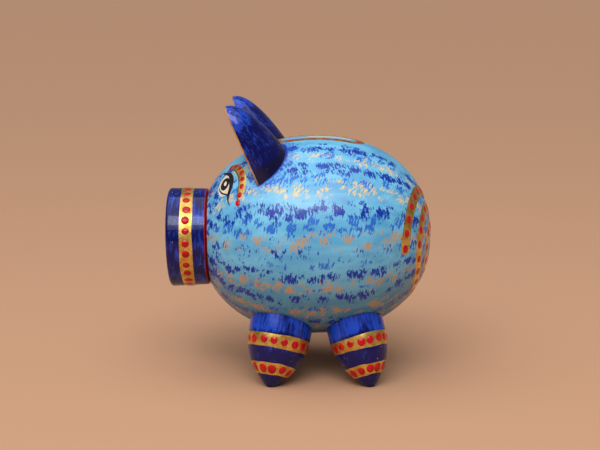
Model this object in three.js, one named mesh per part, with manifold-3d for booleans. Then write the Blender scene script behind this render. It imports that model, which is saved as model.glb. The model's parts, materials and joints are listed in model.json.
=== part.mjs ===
// Pig money box in turned wood: a hollow oval body with a coin slot on its back, a snout that pulls
// out as the stopper, four acorn feet and two ears split from a turned bullet, held by round pegs.
// Millimetres, +Z up. The snout points towards -X, the pig's left side is -Y, and it stands on z = 0.
import * as THREE from "three";
import { mergeVertices } from "three/addons/utils/BufferGeometryUtils.js";
import Module from "manifold-3d";

const wasm = await Module();
wasm.setup();
const { degToRad } = THREE.MathUtils;

// Body: a turned oval, hollowed through its nose end
const bodyHalfLength = 69.1; // of the whole oval, before the nose end is faced off
const bodyRadius = 59;
const ovalPower = 2.2; // 2 is an ellipse, more is squarer
const bodyCentreHeight = 82.6;
const bodyPitch = 1.3; // degrees, nose down
const bodyWall = 9;
const noseFaceRadius = 27.5; // the flat that the snout closes on
const neckLength = 9.5; // wood left between the nose face and the hollow

// Coin slot, along the back
const slotLength = 28;
const slotWidth = 5;
const slotBehindCentre = 9.2;

// Snout: a thick disc with a spigot that fits the neck
const snoutLength = 23.2;
const snoutFrontRadius = 29.5;
const snoutBackRadius = 28.8;
const snoutRimRound = 2;
const spigotRadius = 18.5;
const spigotLength = 12;
const spigotClearance = 0.25;
const snoutGap = 0.5; // between the snout's back and the nose face, when it is pushed home

// Legs: turned acorns, tip down, tilted along the body and splayed to its sides
const legsMiddle = 1.7; // along the body, behind its centre
const legsApartAlong = 8.2; // between a front leg and the rear leg behind it
const legsApartAcross = 21.6; // between left and right, where they meet the body
const legSplay = 21; // degrees
const frontLegTilt = 11.2; // degrees, tips forward
const rearLegTilt = 13.4; // degrees, tips back
const frontLegRadius = 18.4;
const rearLegRadius = 16.9;
const legTipRadius = 2.5;
const acornLength = 37.3; // from the tip to the widest place
const acornPower = 2.8;
const footLevelling = 0.8; // sanded off the lowest edge of each tip, so that the box stands flat
const legPegRadius = 4;
const legPegInLeg = 15;

// Ears: a turned bullet split along its axis, flat side forward
const earStation = -35.9;
const earsApart = 0.6; // between the two ears' inner edges
const earLength = 37; // from the tip to the body, along the flat side
const earLean = 22.2; // degrees forward
const earSplay = 17.8; // degrees outward
const earOvalLength = 121.7; // the bullet is the end of a long oval
const earOvalRadius = 28.7;
const earPegRadius = 3;
const earPegInEar = 12;
const earPegBehindFlat = 8.5;

// Joints between pieces
const pegFloor = 2; // wood left in the body's wall under a peg
const pegClearance = 0.3;
const seatGap = 0.3; // glue line or resting gap between neighbours

// How finely round shapes are cut into facets
const bodySegments = 56;
const bodySteps = 26;
const hollowSteps = 16;
const snoutSegments = 48;
const legSegments = 32;
const legSteps = 8;
const earSegments = 40;
const earSteps = 11;
const pegSegments = 16;

const paint = {
  skyBlue: new THREE.MeshStandardMaterial({ color: 0x6aaed2, roughness: 0.35, metalness: 0 }),
  darkBlue: new THREE.MeshStandardMaterial({ color: 0x1c2473, roughness: 0.3, metalness: 0 }),
  bareWood: new THREE.MeshStandardMaterial({ color: 0xc9a26c, roughness: 0.8, metalness: 0 }),
};

// A closed geometry as a solid that can be joined and cut.
function solidOf(geometry) {
  const bare = new THREE.BufferGeometry();
  bare.setAttribute("position", geometry.getAttribute("position"));
  bare.setIndex(geometry.index);
  const merged = mergeVertices(bare, 1e-4);
  const vertProperties = merged.getAttribute("position").array;
  const triVerts = new Uint32Array(merged.index.array);
  return new wasm.Manifold(new wasm.Mesh({ numProp: 3, vertProperties, triVerts }));
}

function meshOf(name, solid, material) {
  const { vertProperties, triVerts } = solid.getMesh();
  const indexed = new THREE.BufferGeometry();
  indexed.setAttribute("position", new THREE.BufferAttribute(vertProperties, 3));
  indexed.setIndex(new THREE.BufferAttribute(triVerts, 1));
  const geometry = indexed.toNonIndexed();
  geometry.computeVertexNormals();
  const mesh = new THREE.Mesh(geometry, material);
  mesh.name = name;
  return mesh;
}

// A solid turned about the Z axis from [radius, height] points, listed upwards.
function turned(points, segments) {
  const profile = points.map(([radius, height]) => new THREE.Vector2(radius, height));
  return solidOf(new THREE.LatheGeometry(profile, segments).rotateX(Math.PI / 2));
}

function turnedAlongX(points, segments) {
  const profile = points.map(([radius, height]) => new THREE.Vector2(radius, height));
  return solidOf(new THREE.LatheGeometry(profile, segments).rotateZ(-Math.PI / 2));
}

// Radius of the oval at a place along it.
function ovalRadiusAt(x, halfLength, radius) {
  const share = Math.min(1, Math.abs(x) / halfLength);
  return radius * (1 - share ** ovalPower) ** (1 / ovalPower);
}

const pegInBody = bodyWall - pegFloor;
const noseFaceX = -bodyHalfLength * (1 - (noseFaceRadius / bodyRadius) ** ovalPower) ** (1 / ovalPower);

// Outline of an oval from a faced-off nose end to its closed tail end, as [radius, x] points.
function ovalOutline(halfLength, radius, noseRadius, steps) {
  const from = Math.asin((noseRadius / radius) ** (ovalPower / 2));
  const points = [];
  for (let i = 0; i <= steps; i++) {
    const angle = from + ((Math.PI - from) * i) / steps;
    const along = Math.abs(Math.cos(angle)) ** (2 / ovalPower);
    const across = i === steps ? 0 : Math.sin(angle) ** (2 / ovalPower);
    points.push([radius * across, -halfLength * along * Math.sign(Math.cos(angle))]);
  }
  return points;
}

// The body's outside, grown by a gap where it shapes the seats of its neighbours.
function bodyOutside(gap = 0) {
  const outline = ovalOutline(bodyHalfLength + gap, bodyRadius + gap, noseFaceRadius, bodySteps);
  return turnedAlongX([[0, outline[0][1]], ...outline], bodySegments);
}

// How far along a line from outside the body its surface lies.
function distanceToBody(start, direction) {
  const isInside = (d) => {
    const p = start.clone().addScaledVector(direction, d);
    if (Math.abs(p.x) >= bodyHalfLength) return false;
    return Math.hypot(p.y, p.z) < ovalRadiusAt(p.x, bodyHalfLength, bodyRadius);
  };
  let outside = 0;
  let inside = 0;
  while (!isInside(inside)) inside += 0.5;
  for (let i = 0; i < 30; i++) {
    const middle = (outside + inside) / 2;
    if (isInside(middle)) inside = middle;
    else outside = middle;
  }
  return inside;
}

// A frame whose Z axis points away from the body and whose X axis is as near to `forward` as it can be.
function frameAt(origin, outward, forward) {
  const side = new THREE.Vector3().crossVectors(outward, forward).normalize();
  const front = new THREE.Vector3().crossVectors(side, outward);
  return new THREE.Matrix4().makeBasis(front, side, outward).setPosition(origin);
}

const cutInFrame = (solid, frame) => solid.transform([...frame.clone().invert().elements]);
const cutInBody = (solid, frame) => solid.transform([...frame.elements]);

function placed(mesh, frame) {
  frame.decompose(mesh.position, mesh.quaternion, mesh.scale);
  return mesh;
}

// The pig stands in a group of its own, tipped a little nose down; its parts are set in the body's frame.
const pig = new THREE.Group();
pig.rotation.y = -degToRad(bodyPitch);
pig.position.z = bodyCentreHeight;
pig.updateMatrix();

const belowFloor = () => {
  const size = 4 * (bodyHalfLength + bodyRadius);
  return solidOf(new THREE.BoxGeometry(size, size, size).translate(0, 0, -size / 2));
};

// A peg, or the hole for one, from `depth` below a seat to `height` above it.
const roundBar = (radius, depth, height) =>
  turned([[0, -depth], [radius, -depth], [radius, height], [0, height]], pegSegments);

const bodyHoles = [];

function addPeg(name, frame, radius, heightInPiece) {
  pig.add(placed(meshOf(name, roundBar(radius, pegInBody, heightInPiece), paint.bareWood), frame));
  const bore = roundBar(radius + pegClearance, pegInBody + pegClearance, radius);
  bodyHoles.push(cutInBody(bore, frame));
}

// Legs
const legOutline = (length, greatest) => {
  const points = [[0, -greatest], [greatest, -greatest]];
  for (let i = legSteps; i >= 0; i--) {
    const share = i / legSteps;
    const radius = legTipRadius + (greatest - legTipRadius) * (1 - (1 - share) ** acornPower);
    points.push([radius, length - acornLength * share]);
  }
  return [...points, [0, length]];
};

function addLeg(place, station, greatest, tilt, side) {
  const lean = degToRad(tilt);
  const splay = degToRad(legSplay);
  const across = legsApartAcross / 2 + greatest * Math.cos(splay);
  const down = Math.sqrt(ovalRadiusAt(station, bodyHalfLength, bodyRadius) ** 2 - across ** 2);
  const seat = new THREE.Vector3(station, side * across, -down);
  const outward = new THREE.Vector3(
    Math.sin(lean),
    side * Math.cos(lean) * Math.sin(splay),
    -Math.cos(lean) * Math.cos(splay),
  );
  const frame = frameAt(seat, outward, new THREE.Vector3(-1, 0, 0));
  const worldFrame = pig.matrix.clone().multiply(frame);
  const seatHeight = worldFrame.elements[14];
  const drop = -worldFrame.elements[10];
  const tipLift = legTipRadius * Math.sqrt(1 - drop ** 2) - footLevelling;
  const length = (seatHeight - tipLift) / drop;
  const solid = turned(legOutline(length, greatest), legSegments)
    .subtract(cutInFrame(bodyOutside(seatGap), frame))
    .subtract(cutInFrame(belowFloor(), worldFrame))
    .subtract(roundBar(legPegRadius + pegClearance, greatest, legPegInLeg + pegClearance));
  pig.add(placed(meshOf("leg_" + place, solid, paint.darkBlue), frame));
  addPeg("leg_peg_" + place, frame, legPegRadius, legPegInLeg);
}

// Ears
const earLeanAngle = degToRad(earLean);
const earSplayAngle = degToRad(earSplay);

function earRadiusAt(fromTip) {
  return earOvalRadius * Math.sqrt(1 - (1 - fromTip / earOvalLength) ** 2);
}

const earStock = earRadiusAt(earLength); // wood left below the seat, before it is shaped to the body

const earOutline = () => {
  const points = [];
  for (let i = 0; i <= earSteps; i++) {
    const fromTip = (earLength + earStock) * (i / earSteps) ** 1.6;
    points.push([earRadiusAt(fromTip), earLength - fromTip]);
  }
  points.push([0, -earStock]);
  return points.reverse();
};

// Where an ear sits, a way round the body from its top.
function earSeat(round, side) {
  const radius = ovalRadiusAt(earStation, bodyHalfLength, bodyRadius);
  const seat = new THREE.Vector3(earStation, side * radius * Math.sin(round), radius * Math.cos(round));
  const axis = new THREE.Vector3(
    -Math.cos(earSplayAngle) * Math.sin(earLeanAngle),
    side * Math.sin(earSplayAngle),
    Math.cos(earSplayAngle) * Math.cos(earLeanAngle),
  );
  const flatNormal = new THREE.Vector3(-Math.cos(earLeanAngle), 0, -Math.sin(earLeanAngle));
  return { seat, axis, flatNormal, frame: frameAt(seat, axis, flatNormal) };
}

// How far the right ear's inner edge, where it is clear of the body, stays from the middle of the pig.
function earInnerReach(round) {
  const { frame } = earSeat(round, 1);
  let reach = Infinity;
  for (let height = -earStock; height < earLength; height += 0.25) {
    const across = earRadiusAt(earLength - height);
    for (const edge of [-across, across]) {
      const p = new THREE.Vector3(0, edge, height).applyMatrix4(frame);
      const isOutside = Math.hypot(p.y, p.z) > ovalRadiusAt(p.x, bodyHalfLength, bodyRadius);
      if (isOutside) reach = Math.min(reach, p.y);
    }
  }
  return reach;
}

// The ears sit as high on the body as the gap between them lets them.
function earRound() {
  let high = 0;
  let low = Math.PI / 2;
  for (let i = 0; i < 20; i++) {
    const middle = (high + low) / 2;
    if (earInnerReach(middle) > earsApart / 2) low = middle;
    else high = middle;
  }
  return low;
}

function addEar(place, side) {
  const { seat, axis, flatNormal, frame } = earSeat(earRound(), side);
  const size = 4 * (earLength + earStock);
  const front = solidOf(new THREE.BoxGeometry(size, size, size).translate(size / 2, 0, 0));

  const pegTop = seat.clone().addScaledVector(flatNormal, -earPegBehindFlat).addScaledVector(axis, earLength);
  const pegSeat = pegTop.addScaledVector(axis, -distanceToBody(pegTop, axis.clone().negate()));
  const pegFrame = frameAt(pegSeat, axis, flatNormal);
  const inEar = frame.clone().invert().multiply(pegFrame);
  const bore = roundBar(earPegRadius + pegClearance, earStock, earPegInEar + pegClearance);
  const solid = turned(earOutline(), earSegments)
    .subtract(front)
    .subtract(cutInFrame(bodyOutside(seatGap), frame))
    .subtract(cutInBody(bore, inEar));
  pig.add(placed(meshOf("ear_" + place, solid, paint.darkBlue), frame));
  addPeg("ear_peg_" + place, pegFrame, earPegRadius, earPegInEar);
}

// Snout
function addSnout() {
  const back = noseFaceX - snoutGap;
  const front = back - snoutLength;
  const rim = snoutRimRound;
  const points = [[0, front], [snoutFrontRadius - rim, front]];
  for (const angle of [30, 60, 90]) {
    const across = snoutFrontRadius - rim + rim * Math.sin(degToRad(angle));
    points.push([across, front + rim - rim * Math.cos(degToRad(angle))]);
  }
  points.push([snoutBackRadius, back], [spigotRadius, back]);
  points.push([spigotRadius, noseFaceX + spigotLength], [0, noseFaceX + spigotLength]);
  pig.add(meshOf("snout_stopper", turnedAlongX(points, snoutSegments), paint.darkBlue));
}

// Body shell
function addBody() {
  const hollowNose = noseFaceX + neckLength;
  const hollowTail = bodyHalfLength - bodyWall;
  const halfLength = (hollowTail - hollowNose) / 2;
  const neckRadius = spigotRadius + spigotClearance;
  const outline = ovalOutline(halfLength, bodyRadius - bodyWall, 0, hollowSteps);
  const middle = (hollowNose + hollowTail) / 2;
  const hollow = turnedAlongX(outline.map(([radius, x]) => [radius, x + middle]), bodySegments);
  const neck = turnedAlongX(
    [
      [0, noseFaceX - neckLength],
      [neckRadius, noseFaceX - neckLength],
      [neckRadius, middle],
      [0, middle],
    ],
    snoutSegments,
  );

  const straight = slotLength / 2 - slotWidth / 2;
  const slotShape = new THREE.Shape();
  slotShape.absarc(straight, 0, slotWidth / 2, -Math.PI / 2, Math.PI / 2);
  slotShape.absarc(-straight, 0, slotWidth / 2, Math.PI / 2, (3 * Math.PI) / 2);
  slotShape.closePath();
  const slotCut = new THREE.ExtrudeGeometry(slotShape, {
    depth: 2 * bodyRadius,
    bevelEnabled: false,
    curveSegments: 6,
  });
  const slot = solidOf(slotCut.translate(slotBehindCentre, 0, 0));

  let solid = bodyOutside().subtract(hollow).subtract(neck).subtract(slot);
  for (const bore of bodyHoles) solid = solid.subtract(bore);
  pig.add(meshOf("body_shell", solid, paint.skyBlue));
}

const frontStation = legsMiddle - legsApartAlong / 2 - frontLegRadius;
const rearStation = legsMiddle + legsApartAlong / 2 + rearLegRadius;
for (const [side, sign] of [["left", -1], ["right", 1]]) {
  addLeg("front_" + side, frontStation, frontLegRadius, -frontLegTilt, sign);
  addLeg("rear_" + side, rearStation, rearLegRadius, rearLegTilt, sign);
  addEar(side, sign);
}
addSnout();
addBody();

// The origin is under the middle of the box that holds the whole pig.
const moneyBox = new THREE.Group();
moneyBox.add(pig);
const span = new THREE.Box3().setFromObject(moneyBox, true);
moneyBox.position.x = -(span.min.x + span.max.x) / 2;

export default moneyBox;
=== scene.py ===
# Looks for the painted wooden pig money box: turned pieces, painted bands and dots, soft light.
import json
import math
import random

import bpy
from mathutils import Matrix, Vector


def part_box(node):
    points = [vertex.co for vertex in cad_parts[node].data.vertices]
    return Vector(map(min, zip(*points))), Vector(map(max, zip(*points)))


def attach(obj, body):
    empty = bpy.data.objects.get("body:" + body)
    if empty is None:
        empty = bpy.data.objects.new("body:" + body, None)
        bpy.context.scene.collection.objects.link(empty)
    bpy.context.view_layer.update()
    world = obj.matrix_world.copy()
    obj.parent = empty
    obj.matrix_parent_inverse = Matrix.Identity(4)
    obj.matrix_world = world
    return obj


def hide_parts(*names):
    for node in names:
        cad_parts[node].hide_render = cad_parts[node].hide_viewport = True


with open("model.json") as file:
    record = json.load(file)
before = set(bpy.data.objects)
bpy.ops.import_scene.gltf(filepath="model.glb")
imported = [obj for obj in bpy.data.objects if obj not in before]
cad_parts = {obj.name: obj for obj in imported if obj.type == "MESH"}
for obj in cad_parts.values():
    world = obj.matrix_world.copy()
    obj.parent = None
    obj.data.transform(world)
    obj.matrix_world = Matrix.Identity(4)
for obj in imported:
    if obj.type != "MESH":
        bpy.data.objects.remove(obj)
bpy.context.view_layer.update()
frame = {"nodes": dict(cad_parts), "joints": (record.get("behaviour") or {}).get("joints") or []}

mm = 0.001

# The pig's own frame: X runs along the body towards the tail, Z up through the coin slot.
pigBody = {
    "halfLength": 69.1 * mm,
    "radius": 59 * mm,
    "squareness": 2.2,  # 2 is an ellipse
    "noseFace": 27.5 * mm,  # radius of the flat under the snout
    "noseRound": 0.8 * mm,
    "wall": 9 * mm,
    "neckDepth": 9.5 * mm,
    "neckRadius": 18.75 * mm,
    "neckRound": 0.3 * mm,
    "slotLength": 28 * mm,
    "slotWidth": 5 * mm,
    "slotStation": 9.2 * mm,
    "slotRound": 0.4 * mm,
    "around": 160,  # facets round the body
    "steps": 76,  # and along it
    "insideSteps": 48,
}

tailward = -Vector(frame["joints"][0]["axis"]).normalized()
shellLow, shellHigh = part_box("body_shell")
pigCentre = Vector((
    shellHigh.x - pigBody["halfLength"] * tailward.x, 0, (shellLow.z + shellHigh.z) / 2,
))
pigAxes = Matrix((tailward, (0, 1, 0), tailward.cross(Vector((0, 1, 0))))).transposed()
pigFrame = Matrix.Translation(pigCentre) @ pigAxes.to_4x4()
intoPig = pigFrame.inverted()
turnedAlong = Matrix.Rotation(math.pi / 2, 4, "Y")  # a turned piece's height becomes its station


# Working with pieces

def clearSelection():
    bpy.ops.object.select_all(action="DESELECT")


def pickOnly(*pieces):
    clearSelection()
    for piece in pieces:
        piece.select_set(True)
    bpy.context.view_layer.objects.active = pieces[0]


def startEditing(piece):
    pickOnly(piece)
    bpy.ops.object.mode_set(mode="EDIT")
    bpy.ops.mesh.select_all(action="SELECT")


def stopEditing():
    bpy.ops.object.mode_set(mode="OBJECT")


def settlePlace(piece):
    pickOnly(piece)
    bpy.ops.object.transform_apply(location=True, rotation=True, scale=True)


def applyModifier(piece, kind, **settings):
    modifier = piece.modifiers.new(kind.title(), kind)
    for setting, value in settings.items():
        setattr(modifier, setting, value)
    pickOnly(piece)
    bpy.ops.object.modifier_apply(modifier=modifier.name)


def joinPieces(pieces):
    pickOnly(*pieces)
    if len(pieces) > 1:
        bpy.ops.object.join()
    return bpy.context.object


def carve(piece, *cutters):
    # One at a time: a cutter made of overlapping shells leaves loose walls behind.
    for cutter in cutters:
        applyModifier(piece, "BOOLEAN", object=cutter, operation="DIFFERENCE", solver="EXACT")
        bpy.data.objects.remove(cutter)


def faceOutward(piece):
    startEditing(piece)
    bpy.ops.mesh.normals_make_consistent(inside=False)
    stopEditing()


def turn(outline, facets, place):
    # Turns a line of (radius, height) pairs into a closed piece, as on a lathe.
    clearSelection()
    bpy.ops.mesh.primitive_plane_add(size=mm, location=(0, 0, 0))
    piece = bpy.context.object
    startEditing(piece)
    bpy.ops.mesh.merge(type="CENTER")
    last = (0, 0)
    for step, (radius, height) in enumerate(outline):
        move = (radius - last[0], 0, height - last[1])
        if step:
            bpy.ops.mesh.extrude_region_move(TRANSFORM_OT_translate={"value": move})
        else:
            bpy.ops.transform.translate(value=move)
        last = (radius, height)
    bpy.ops.mesh.select_all(action="SELECT")
    bpy.ops.mesh.spin(steps=facets, angle=2 * math.pi, center=(0, 0, 0), axis=(0, 0, 1))
    bpy.ops.mesh.select_all(action="SELECT")
    bpy.ops.mesh.remove_doubles(threshold=1e-6)
    bpy.ops.mesh.normals_make_consistent(inside=False)
    stopEditing()
    piece.matrix_world = place
    settlePlace(piece)
    return piece


def roundBar(radius, low, high, place, facets=32):
    return turn([(0, low), (radius, low), (radius, high), (0, high)], facets, place)


def frameAt(origin, outward, forward):
    side = outward.cross(forward).normalized()
    axes = Matrix((side.cross(outward), side, outward)).transposed()
    return Matrix.Translation(origin) @ axes.to_4x4()


finishes = {}  # material of each slot that several pieces share


def finish(piece, name, slot, body="pig", smooth=32, material=None):
    # Settles a piece, paints it and ties it to its body; smooth is in degrees.
    settlePlace(piece)
    bpy.ops.object.shade_smooth_by_angle(angle=math.radians(smooth))
    piece.name = piece.data.name = name
    piece.data.materials.clear()
    piece.data.materials.append(material or finishes[slot])
    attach(piece, body)


# The body's surface, in the pig's frame

def ovalLine(halfLength, radius, startRadius, steps):
    # (radius, station) pairs from a nose end of that radius to the tail pole.
    power = pigBody["squareness"]
    first = math.asin((startRadius / radius) ** (power / 2))
    line = []
    for step in range(steps + 1):
        angle = first + (math.pi - first) * step / steps
        along = math.copysign(abs(math.cos(angle)) ** (2 / power), -math.cos(angle))
        across = 0 if step == steps else math.sin(angle) ** (2 / power)
        line.append((radius * across, halfLength * along))
    return line


def bodyLevel(point):
    # 1 on the body's surface, less inside it, with the direction in which it grows.
    power, girth = pigBody["squareness"], math.hypot(point.y, point.z)
    length, radius = pigBody["halfLength"], pigBody["radius"]
    level = (abs(point.x) / length) ** power + (girth / radius) ** power
    along = math.copysign(abs(point.x) ** (power - 1), point.x) / length ** power
    across = girth ** (power - 2) / radius ** power
    return level, power * Vector((along, across * point.y, across * point.z))


def ontoBody(point, way=None):
    # Slides a point along a direction, or away from the middle, until it lies on the body.
    point = point.copy()
    for _ in range(10):
        level, growth = bodyLevel(point)
        direction = way or point.normalized()
        point -= direction * ((level - 1) / growth.dot(direction))
    return point


noseStation = ovalLine(pigBody["halfLength"], pigBody["radius"], pigBody["noseFace"], 2)[0][1]


# Shader writing

class Signal:
    # A node's output that takes part in sums.
    def __init__(self, paint, socket):
        self.paint, self.socket = paint, socket

    def __add__(self, other):
        return self.paint.math("ADD", self, other)

    def __sub__(self, other):
        return self.paint.math("SUBTRACT", self, other)

    def __rsub__(self, other):
        return self.paint.math("SUBTRACT", other, self)

    def __mul__(self, other):
        return self.paint.math("MULTIPLY", self, other)

    def __abs__(self):
        return self.paint.math("ABSOLUTE", self)

    __radd__, __rmul__ = __add__, __mul__


class Paint:
    # One material and the nodes that it is mixed from.
    def __init__(self, name, **settings):
        self.material = bpy.data.materials.new(name)
        self.material.use_nodes = True
        self.tree = self.material.node_tree
        self.shader = next(n for n in self.tree.nodes if n.type == "BSDF_PRINCIPLED")
        for socket, value in settings.items():
            self.shader.inputs[socket.replace("_", " ")].default_value = value

    def node(self, kind, settings=None, sockets=None, output=0):
        made = self.tree.nodes.new(kind)
        for setting, value in (settings or {}).items():
            setattr(made, setting, value)
        for socket, value in (sockets or {}).items():
            if isinstance(value, Signal):
                self.tree.links.new(value.socket, made.inputs[socket])
            else:
                made.inputs[socket].default_value = value
        return Signal(self, made.outputs[output])

    def math(self, operation, *values):
        return self.node("ShaderNodeMath", {"operation": operation}, dict(enumerate(values)))

    def feed(self, socket, signal):
        self.tree.links.new(signal.socket, self.shader.inputs[socket])

    def seenFrom(self, place):
        # The piece's coordinates in metres, seen from a frame, as x, y and z.
        where = self.node("ShaderNodeTexCoord", output="Object")
        moved = self.node("ShaderNodeMapping", {"vector_type": "TEXTURE"}, {
            "Vector": where, "Location": place.translation, "Rotation": place.to_euler(),
        })
        split = self.node("ShaderNodeSeparateXYZ", None, {0: moved}).socket.node
        return [Signal(self, socket) for socket in split.outputs]

    def join(self, x, y, z):
        return self.node("ShaderNodeCombineXYZ", None, {0: x, 1: y, 2: z})

    def noise(self, vector, size, detail=2.0, roughness=0.5, distortion=0.0):
        return self.node("ShaderNodeTexNoise", None, {
            "Vector": vector, "Scale": 1 / size, "Detail": detail, "Roughness": roughness,
            "Distortion": distortion,
        })

    def cells(self, vector, size):
        return self.node("ShaderNodeTexVoronoi", None, {"Vector": vector, "Scale": 1 / size})

    def fade(self, value, low, high, start=0.0, end=1.0):
        # Smoothly from start to end as the value goes from low to high; low may be the larger.
        if low > high:
            low, high, start, end = high, low, end, start
        return self.node("ShaderNodeMapRange", {"interpolation_type": "SMOOTHSTEP"}, {
            "Value": value, "From Min": low, "From Max": high, "To Min": start, "To Max": end,
        })

    def blend(self, factor, one, other):
        return self.node("ShaderNodeMix", {"data_type": "RGBA"}, {0: factor, 6: one, 7: other}, 2)

    def rows(self, value, peaks, width):
        # Grey bands over 0 to 1, from (place, height) pairs.
        signal = self.node("ShaderNodeValToRGB", None, {0: value})
        ramp = signal.socket.node.color_ramp
        ramp.interpolation = "EASE"
        stops = [(p + side * width, h * (side == 0)) for p, h in peaks for side in (-1, 0, 1)]
        for place, height in sorted(stops):
            ramp.elements.new(min(0.999, max(0.001, place))).color = (height, height, height, 1)
        for end in (ramp.elements[0], ramp.elements[-1]):
            end.color = (0, 0, 0, 1)
        return signal

    def relief(self, height, depth):
        # Height from 0 to 1 pressed into the surface to that depth.
        bump = self.node("ShaderNodeBump", None, {"Height": height, "Distance": depth})
        self.feed("Normal", bump)


def colour(red, green, blue):
    # Screen values from 0 to 255 as linear light.
    light = [v / 255 for v in (red, green, blue)]
    return tuple(v / 12.92 if v < 0.04 else ((v + 0.055) / 1.055) ** 2.4 for v in light) + (1,)


# Blue body: sky blue in rows of crumbly dabs, bare wood inside and in the slot

bodyPaint = {
    "sky": colour(118, 198, 236),
    "deepSky": colour(86, 168, 216),
    # painted shade: darker blue for the lower body
    "shadedUnderside": colour(54, 110, 142),
    "dark": colour(6, 48, 164),
    "mid": colour(10, 90, 206),
    "gold": colour(236, 204, 128),
    "copper": colour(198, 150, 72),
    # lavender for dabs lightened by a painted highlight
    "dabsAndSheen": colour(128, 134, 214),
    "red": colour(150, 16, 30),
    "wood": colour(206, 168, 112),
    "woodGrain": colour(170, 124, 74),
    "slotEdge": colour(244, 230, 158),  # pale rim just inside the coin slot
    "coat": 0.38,
    "brushWidth": 9 * mm,
    "brushStretch": 0.25,
    "bellyShade": (0.45, 0.85),  # share of the way round over which painted shade darkens the lower body
    "bellyShadeStrength": 0.75,
    "redEdge": 2.2 * mm,
    "relief": 0.09 * mm,
}

dabPaint = {
    # rows as (way round from the top in degrees, strength)
    "darkRows": [(20, 1.1), (39, 1.1), (66, 1.2), (89, 0.5), (102, 1.2), (117, 1.1), (139, 1),
                 (153, 0.9), (167, 0.9)],
    "midRows": [(26, 0.9), (47, 0.9), (74, 1.2), (97, 0.6), (110, 0.8), (125, 0.7), (142, 0.8),
                (160, 0.8)],
    "goldRows": [(30, 0.9), (53, 1)],
    "copperRows": [(83, 1.05), (109, 1.1), (129, 1), (146, 0.9), (159, 0.9)],
    # rows of real dabs painted lavender as a painted highlight on the upper body
    "dabsAndSheenRows": [(24, 0.5), (56, 0.9)],
    "rowWidth": 8.5,  # degrees each side
    "midSpread": 1.3,
    "dabsAndSheenWidth": 14,
    "rowDrift": 0.16,  # radians by which rows wander
    "driftSize": 30 * mm,
    # each kind's slant, shift of its pattern, size, fullness and strength
    "dark": (None, 0.0, 1 * mm, 1.2, 1.0),
    "mid": (0.25, 0.31, 1.2 * mm, 1.1, 0.85),
    "gold": (0.5, 0.57, 1 * mm, 1.0, 0.85),
    "copper": (0.5, 0.83, 1 * mm, 1.05, 0.8),
    "dabsAndSheenStrength": 0.6,
    "stretch": 0.34,
    "upright": 82 * mm,  # way round at which dark strokes stand straight
    "leanRate": 5.6,  # per metre
    "clusterSize": 6.4 * mm,
    "clusterEdge": (0.78, 0.3),  # from its rim to its full middle
    "clusterPull": 0.16,  # extra paint in a cluster's middle
    "strokeEdge": (0.61, 0.65),
    "coverEdge": (0.08, 0.35),
    "noseCrowd": (noseStation + 17 * mm, noseStation + 3 * mm, 0.7),
    "tailCrowd": (44 * mm, 58 * mm, 0.3),
}

earFoot = {
    "clear": 22.2 * mm,  # distance of the dark outline from the ear's axis
    "outline": (0.6 * mm, -0.4 * mm),
    "outlineRagged": 2.5 * mm,
    "outlineEnd": (1.2 * mm, 0.2 * mm),  # in front of the ear's flat side
    "overspill": (7 * mm, -2 * mm),
    "overspillRagged": 26 * mm,
    "overspillEnd": (7 * mm, -4 * mm),
    "overspillStrength": 0.65,
}

# where the body's turned surface has been cut into and shows bare wood
bodyCuts = {
    "depth": (0.994, 0.989),  # surface level, which is 1 outside
    "slotRim": (0.94, 0.96),
    "slotHeight": (50 * mm, 52 * mm),
    "bore": (19.4 * mm, 19 * mm),
    "redBorder": (noseStation + 0.9 * mm, noseStation + 0.5 * mm),
}


def dabs(paint, place, rows, kind, slant=None):
    # Small leaning strokes in loose clusters, kept to their rows.
    x, y, z, arc = place
    usual, shift, size, fullness, _ = dabPaint[kind]
    stretch = dabPaint["stretch"]
    leaning = paint.join(x + arc * (slant or usual) + shift, y * stretch, z * stretch)
    clusters = paint.cells(paint.join(x + shift, y, z), dabPaint["clusterSize"])
    cover = rows * paint.fade(clusters, *dabPaint["clusterEdge"]) * fullness
    strokes = paint.noise(leaning, size, 4, 0.65)
    paintLeft = paint.fade(strokes + cover * dabPaint["clusterPull"], *dabPaint["strokeEdge"])
    return paintLeft * paint.fade(cover, *dabPaint["coverEdge"])


def paintRoundEars(paint, base, spot, ragged, earPlace):
    # Dark outline and loose blue round the ears, drawn for one ear and its mirror image.
    x, y, z = spot
    seat, axis, forward = (earPlace.col[n].to_3d() for n in (3, 2, 0))
    dx, dy, dz = x - seat.x, abs(y) - abs(seat.y), z - seat.z
    along = dx * axis.x + dy * abs(axis.y) + dz * axis.z
    apart = dx * dx + dy * dy + dz * dz - along * along
    reach = paint.math("SQRT", apart) - earFoot["clear"]
    ahead = dx * forward.x + dy * abs(forward.y) + dz * forward.z
    for kind, shade, strength in (("overspill", "mid", earFoot["overspillStrength"]),
                                  ("outline", "dark", 1)):
        edge = paint.fade(reach + ragged * earFoot[kind + "Ragged"], *earFoot[kind])
        mark = edge * paint.fade(ahead, *earFoot[kind + "End"])
        base = paint.blend(mark * strength, base, bodyPaint[shade])
    return base


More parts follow.
